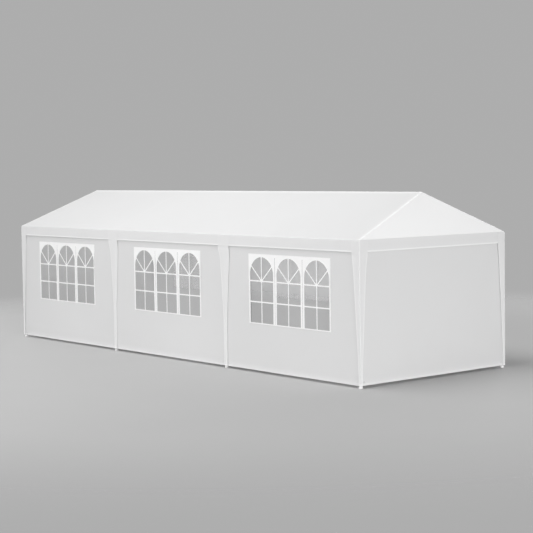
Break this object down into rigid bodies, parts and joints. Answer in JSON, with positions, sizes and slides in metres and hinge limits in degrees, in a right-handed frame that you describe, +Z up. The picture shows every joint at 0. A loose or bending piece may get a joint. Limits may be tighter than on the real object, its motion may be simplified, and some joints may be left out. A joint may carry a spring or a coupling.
{
  "type": "marquee tent",
  "caption": "Long gable-roofed party tent: tube frame, white sheet cover with valance and leg drapes, plain end walls and side walls with arched film windows.",
  "frame": {"origin": "on the ground under the middle of the tent's footprint", "axes": "+X along the nine metre length, towards the plain end wall seen in the picture, -Y out of the long side seen in the picture, +Z up"},
  "size_m": [9, 3, 2.6714],
  "materials": {
    "roof_fabric": "white coated woven sheet, satin, lit through a little",
    "drape_fabric": "white coated woven sheet, sewn to the valance and hanging free",
    "wall_fabric": "white coated woven sheet, a little greyer than the roof, hemmed all round",
    "window_film": "clear soft plastic film with a white printed glazing pattern",
    "frame_paint": "white powder-coated steel tube"
  },
  "bodies": {
    "root": {"roof_slope_front": "roof_fabric", "roof_slope_back": "roof_fabric", "gable_left": "roof_fabric", "gable_right": "roof_fabric", "valance_front": "roof_fabric", "valance_back": "roof_fabric", "valance_left": "roof_fabric", "valance_right": "roof_fabric", "corner_drape_front_left": "drape_fabric", "corner_drape_front_right": "drape_fabric", "corner_drape_back_left": "drape_fabric", "corner_drape_back_right": "drape_fabric", "middle_drape_front_left": "drape_fabric", "middle_drape_front_right": "drape_fabric", "middle_drape_back_left": "drape_fabric", "middle_drape_back_right": "drape_fabric", "wall_front_left": "wall_fabric", "wall_front_middle": "wall_fabric", "wall_front_right": "wall_fabric", "wall_back_left": "wall_fabric", "wall_back_middle": "wall_fabric", "wall_back_right": "wall_fabric", "wall_left": "wall_fabric", "wall_right": "wall_fabric", "window_front_left": "window_film", "window_front_middle": "window_film", "window_front_right": "window_film", "window_back_left": "window_film", "window_back_middle": "window_film", "window_back_right": "window_film", "leg_front_1": "frame_paint", "leg_front_2": "frame_paint", "leg_front_3": "frame_paint", "leg_front_4": "frame_paint", "leg_back_1": "frame_paint", "leg_back_2": "frame_paint", "leg_back_3": "frame_paint", "leg_back_4": "frame_paint", "eave_rail_front": "frame_paint", "eave_rail_back": "frame_paint", "end_rail_left": "frame_paint", "end_rail_right": "frame_paint", "ridge_rail": "frame_paint", "rafter_front_1": "frame_paint", "rafter_front_2": "frame_paint", "rafter_front_3": "frame_paint", "rafter_front_4": "frame_paint", "rafter_back_1": "frame_paint", "rafter_back_2": "frame_paint", "rafter_back_3": "frame_paint", "rafter_back_4": "frame_paint"}
  },
  "joints": []
}
